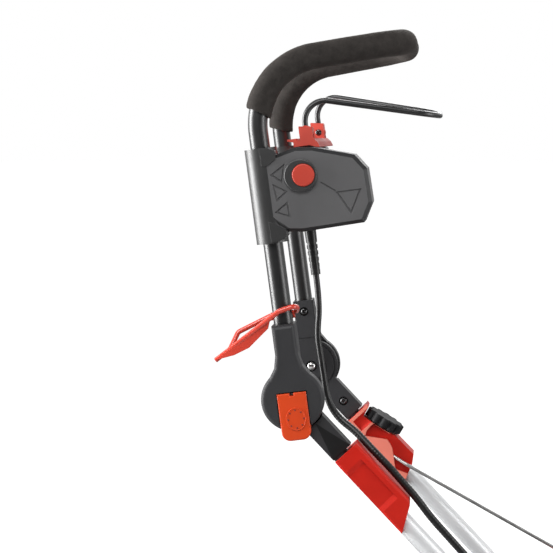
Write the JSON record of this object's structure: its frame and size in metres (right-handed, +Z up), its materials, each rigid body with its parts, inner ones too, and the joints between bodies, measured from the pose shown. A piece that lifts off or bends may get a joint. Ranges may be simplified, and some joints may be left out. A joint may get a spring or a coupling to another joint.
{
  "type": "rotary lawn mower",
  "caption": "Electric push lawn mower with a tilting, latched bow handle, switch box, bail, red-clamped aluminium frame, bladed deck and rear grass box.",
  "frame": {"origin": "on the ground, under the middle of the bounding box", "axes": "+X forward, the way the mower cuts; +Y to the left of the person pushing; +Z up"},
  "size_m": [1.12, 0.462, 1.089],
  "materials": {
    "black_tube": "semi-gloss black enamel",
    "foam": "matte closed-cell foam",
    "dark_plastic": "fine matte moulded",
    "red_plastic": "satin moulded",
    "orange_plastic": "satin moulded",
    "bracket_red": "satin moulded",
    "aluminium_tube": "satin anodised",
    "steel": "zinc plated",
    "black_steel": "black oxide",
    "knob_black": "matte moulded",
    "cable_black": "smooth sheath",
    "switch_black": "moulded",
    "deck_red": "satin moulded",
    "cover_black": "fine matte moulded",
    "motor_metal": "cast aluminium housing",
    "blade_steel": "ground steel",
    "tyre_black": "moulded tread",
    "wheel_grey": "moulded",
    "box_black": "fine matte moulded",
    "box_grey": "fine matte moulded"
  },
  "bodies": {
    "chassis": {"arm_left": "dark_plastic", "arm_right": "dark_plastic", "arm_screws": "black_steel", "bracket_left": "bracket_red", "bracket_right": "bracket_red", "cable_clips": "cable_black", "cable_gland": "cable_black", "chute_hood": "deck_red", "deck": "deck_red", "flap_pin": "steel", "front_axles": "steel", "lower_tube_left": "aluminium_tube", "lower_tube_right": "aluminium_tube", "motor": "motor_metal", "motor_cover": "cover_black", "power_cable": "cable_black", "rear_axles": "steel", "stay_rod": "steel", "toothed_discs": "steel"},
    "handle": {"handle_tube": "black_tube", "foam_grip": "foam", "switch_box_outer": "dark_plastic", "switch_box_inner": "dark_plastic", "button_bezel": "dark_plastic", "microswitch": "switch_black", "cable_boot": "cable_black", "console_bridge": "dark_plastic", "bail_carrier": "red_plastic", "cord_hook": "red_plastic", "hub_cover_right": "dark_plastic", "hub_cover_left": "dark_plastic", "fork_plate_right": "dark_plastic", "fork_plate_left": "dark_plastic", "pivot_bolts": "steel", "fork_screws": "black_steel", "latch_pins": "steel", "button_spring": "steel"},
    "start_button": {"start_button": "red_plastic"},
    "bail": {"bail_rod": "black_tube", "bail_blocks": "red_plastic", "bail_shaft": "steel"},
    "latch_right": {"latch_lever_right": "orange_plastic"},
    "latch_left": {"latch_lever_left": "orange_plastic"},
    "clamp_knob": {"knob": "knob_black", "knob_bolt": "steel"},
    "wheel_front_right": {"front_wheel_right": "wheel_grey", "front_tyre_right": "tyre_black"},
    "wheel_front_left": {"front_wheel_left": "wheel_grey", "front_tyre_left": "tyre_black"},
    "wheel_rear_right": {"rear_wheel_right": "wheel_grey", "rear_tyre_right": "tyre_black"},
    "wheel_rear_left": {"rear_wheel_left": "wheel_grey", "rear_tyre_left": "tyre_black"},
    "rotor": {"motor_shaft": "steel", "fan": "switch_black", "blade": "blade_steel", "blade_bolt": "black_steel"},
    "flap": {"rear_flap": "cover_black"},
    "collector": {"grass_box": "box_black", "grass_box_lid": "box_grey"}
  },
  "joints": [
    {"name": "handle_tilt", "type": "hinge", "parent": "chassis", "child": "handle", "pos_m": [-0.32, 0, 0.62], "axis": [0, -1, 0], "range_deg": [0, 50], "deforming": ["power_cable"]},
    {"name": "latch_right_lift", "type": "hinge", "parent": "handle", "child": "latch_right", "pos_m": [-0.32053, -0.191, 0.62396], "axis": [-0.9912, 0, -0.1323], "range_deg": [0, 55]},
    {"name": "latch_left_lift", "type": "hinge", "parent": "handle", "child": "latch_left", "pos_m": [-0.32053, 0.191, 0.62396], "axis": [0.9912, 0, 0.1323], "range_deg": [0, 55]},
    {"name": "button_push", "type": "slide", "parent": "handle", "child": "start_button", "axis": [0, 1, 0], "range_m": [0, 0.004], "stiffness_N_per_m": 900, "springref_m": -0.003, "deforming": ["button_spring"]},
    {"name": "bail_pull", "type": "hinge", "parent": "handle", "child": "bail", "pos_m": [-0.30741, 0, 0.95662], "axis": [0, -1, 0], "range_deg": [0, 25], "stiffness_Nm_per_rad": 1.2, "springref_deg": -45.84},
    {"name": "knob_turn", "type": "hinge", "parent": "chassis", "child": "clamp_knob", "pos_m": [-0.21826, 0.17, 0.53316], "axis": [0.509, 0, 0.8607], "range_deg": [0, 360]},
    {"name": "front_right_wheel_spin", "type": "hinge", "parent": "chassis", "child": "wheel_front_right", "pos_m": [0.455, -0.2, 0.075], "axis": [0, 1, 0], "continuous": true},
    {"name": "front_left_wheel_spin", "type": "hinge", "parent": "chassis", "child": "wheel_front_left", "pos_m": [0.455, 0.2, 0.075], "axis": [0, 1, 0], "continuous": true},
    {"name": "rear_right_wheel_spin", "type": "hinge", "parent": "chassis", "child": "wheel_rear_right", "pos_m": [0.02, -0.2, 0.09], "axis": [0, 1, 0], "continuous": true},
    {"name": "rear_left_wheel_spin", "type": "hinge", "parent": "chassis", "child": "wheel_rear_left", "pos_m": [0.02, 0.2, 0.09], "axis": [0, 1, 0], "continuous": true},
    {"name": "blade_spin", "type": "hinge", "parent": "chassis", "child": "rotor", "pos_m": [0.265, 0, 0.1], "axis": [0, 0, 1], "continuous": true},
    {"name": "flap_lift", "type": "hinge", "parent": "chassis", "child": "flap", "pos_m": [0.02, 0, 0.3315], "axis": [0, 1, 0], "range_deg": [0, 75]},
    {"name": "collector_slide", "type": "slide", "parent": "chassis", "child": "collector", "axis": [-1, 0, 0], "range_m": [0, 0.25]}
  ]
}
